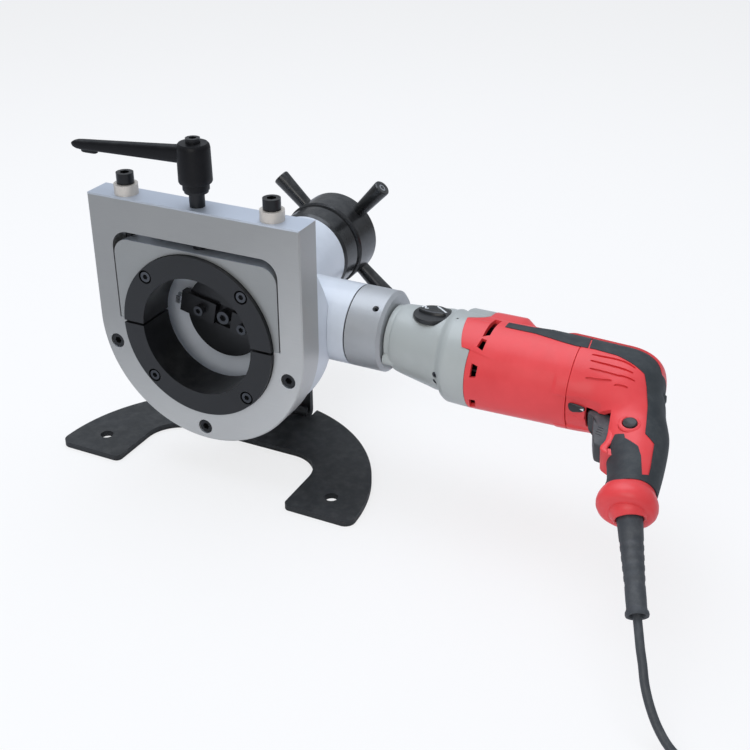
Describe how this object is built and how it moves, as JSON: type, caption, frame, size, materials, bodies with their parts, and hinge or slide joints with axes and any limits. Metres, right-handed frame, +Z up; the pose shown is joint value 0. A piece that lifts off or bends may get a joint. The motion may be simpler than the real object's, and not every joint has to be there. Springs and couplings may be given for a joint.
{
  "type": "pipe end facing machine",
  "caption": "Portable pipe end facing machine: split collets in a clamp plate, a hand-fed facing head in a cast housing, and a side-mounted corded pistol drill that drives it.",
  "frame": {"origin": "on the pipe bore's axis, in the front face of the clamp plate", "axes": "+X to the right, towards the drill; +Y along the pipe bore, from the clamp plate back to the feed wheel; +Z up, with the floor at -0.152 m"},
  "size_m": [0.8712, 0.4618, 0.3361],
  "materials": {
    "plate": "brushed",
    "jaw": "brushed",
    "collet": "black oxide",
    "black_screw": "black oxide",
    "grey_screw": "satin",
    "bronze": "turned",
    "white_cast": "white enamel on cast aluminium",
    "stand": "black powder coat",
    "lever": "black powder coat",
    "gloss_black": "glossy black oxide",
    "steel": "ground",
    "gear_steel": "satin",
    "bearing": "ground",
    "collar": "turned satin",
    "seal": "matte",
    "case_grey": "satin grey paint on cast aluminium",
    "red_shell": "semi-gloss",
    "overmold": "matte",
    "black_plastic": "satin",
    "copper": "wound",
    "carbon": "matte",
    "cord": "matte"
  },
  "bodies": {
    "root": {"clamp_plate": "plate", "plate_screws": "black_screw", "lower_collet": "collet", "lower_collet_screws": "grey_screw", "guide_bushes": "bronze", "chamber_ring": "white_cast", "gear_housing": "white_cast", "bearing_cover": "white_cast", "gear_bearings": "bearing", "housing_screws": "grey_screw", "stand": "stand", "feed_flange": "gloss_black", "branch_seal": "seal", "drive_collar": "collar", "collar_screws": "grey_screw", "gear_case": "case_grey", "gear_case_screws": "grey_screw", "motor_housing": "red_shell", "motor_field": "copper", "brushes": "carbon", "drill_bearings": "bearing", "handle_left": "red_shell", "handle_right": "red_shell", "handle_screws": "black_screw", "spine_overmold": "overmold", "grip_overmold": "overmold", "switch_body": "black_plastic", "cord_boot": "cord", "cord_lead": "cord", "cord_coil": "cord", "cord_tail": "cord", "cord_tie": "seal", "cord_plug": "cord"},
    "jaw": {"upper_jaw": "jaw", "upper_collet": "collet", "upper_collet_screws": "grey_screw", "guide_screws": "black_screw"},
    "lever": {"clamp_screw": "black_screw", "clamp_lever": "lever", "lever_cap_screw": "black_screw"},
    "crown": {"crown_gear": "gear_steel"},
    "drive": {"drive_pinion": "gear_steel", "drive_shaft": "steel", "drill_spindle": "steel"},
    "armature": {"motor_armature": "copper", "cooling_fan": "black_plastic"},
    "quill": {"feed_quill": "steel", "quill_bearing": "bearing"},
    "spindle": {"main_spindle": "steel", "cutter_head": "collet", "tool_holders": "collet", "tool_bits": "steel", "tool_screws": "grey_screw"},
    "wheel": {"feed_wheel": "gloss_black", "wheel_spokes": "gloss_black", "spoke_screws": "steel"},
    "trigger": {"trigger": "black_plastic"},
    "lock_button": {"lock_button": "black_plastic"},
    "direction_lever": {"direction_lever": "black_plastic"},
    "speed_knob": {"speed_knob": "black_plastic"}
  },
  "joints": [
    {"name": "jaw_lift", "type": "slide", "parent": "root", "child": "jaw", "axis": [0, 0, 1], "range_m": [0, 0.007]},
    {"name": "lever_turn", "type": "hinge", "parent": "jaw", "child": "lever", "pos_m": [0, 0.0145, 0.15], "axis": [0, 0, 1], "range_deg": [0, 1260]},
    {"name": "wheel_turn", "type": "hinge", "parent": "root", "child": "wheel", "pos_m": [0, 0.26, 0], "axis": [0, -1, 0], "range_deg": [0, 2700]},
    {"name": "quill_feed", "type": "slide", "parent": "root", "child": "quill", "axis": [0, -1, 0], "range_m": [0, 0.015]},
    {"name": "spindle_turn", "type": "hinge", "parent": "quill", "child": "spindle", "pos_m": [0, 0.05, 0], "axis": [0, 1, 0], "continuous": true},
    {"name": "crown_turn", "type": "hinge", "parent": "root", "child": "crown", "pos_m": [0, 0.105, 0], "axis": [0, 1, 0], "continuous": true},
    {"name": "drive_turn", "type": "hinge", "parent": "root", "child": "drive", "pos_m": [0.1, 0.087, 0], "axis": [1, 0, 0], "continuous": true},
    {"name": "armature_turn", "type": "hinge", "parent": "root", "child": "armature", "pos_m": [0.3, 0.07251, -0.00388], "axis": [1, 0, 0], "continuous": true},
    {"name": "trigger_press", "type": "slide", "parent": "root", "child": "trigger", "axis": [1, 0, 0], "range_m": [0, 0.008], "stiffness_N_per_m": 600, "springref_m": -0.004},
    {"name": "lock_press", "type": "slide", "parent": "root", "child": "lock_button", "axis": [0, 0.2588, -0.9659], "range_m": [0, 0.003], "stiffness_N_per_m": 400, "springref_m": -0.002},
    {"name": "direction_swing", "type": "hinge", "parent": "root", "child": "direction_lever", "pos_m": [0.3545, 0.03233, -0.01465], "axis": [0, 0.9659, 0.2588], "range_deg": [-15, 15]},
    {"name": "speed_turn", "type": "hinge", "parent": "root", "child": "speed_knob", "pos_m": [0.201, 0.075, 0], "axis": [0, 0, 1], "range_deg": [0, 180]}
  ],
  "couplings": [
    {"joint": "jaw_lift", "follows": "lever_turn", "m_per_rad": 0.00031831},
    {"joint": "quill_feed", "follows": "wheel_turn", "m_per_rad": 0.00031831},
    {"joint": "crown_turn", "follows": "armature_turn", "ratio": 0.125},
    {"joint": "spindle_turn", "follows": "armature_turn", "ratio": 0.125},
    {"joint": "drive_turn", "follows": "armature_turn", "ratio": -0.25}
  ]
}
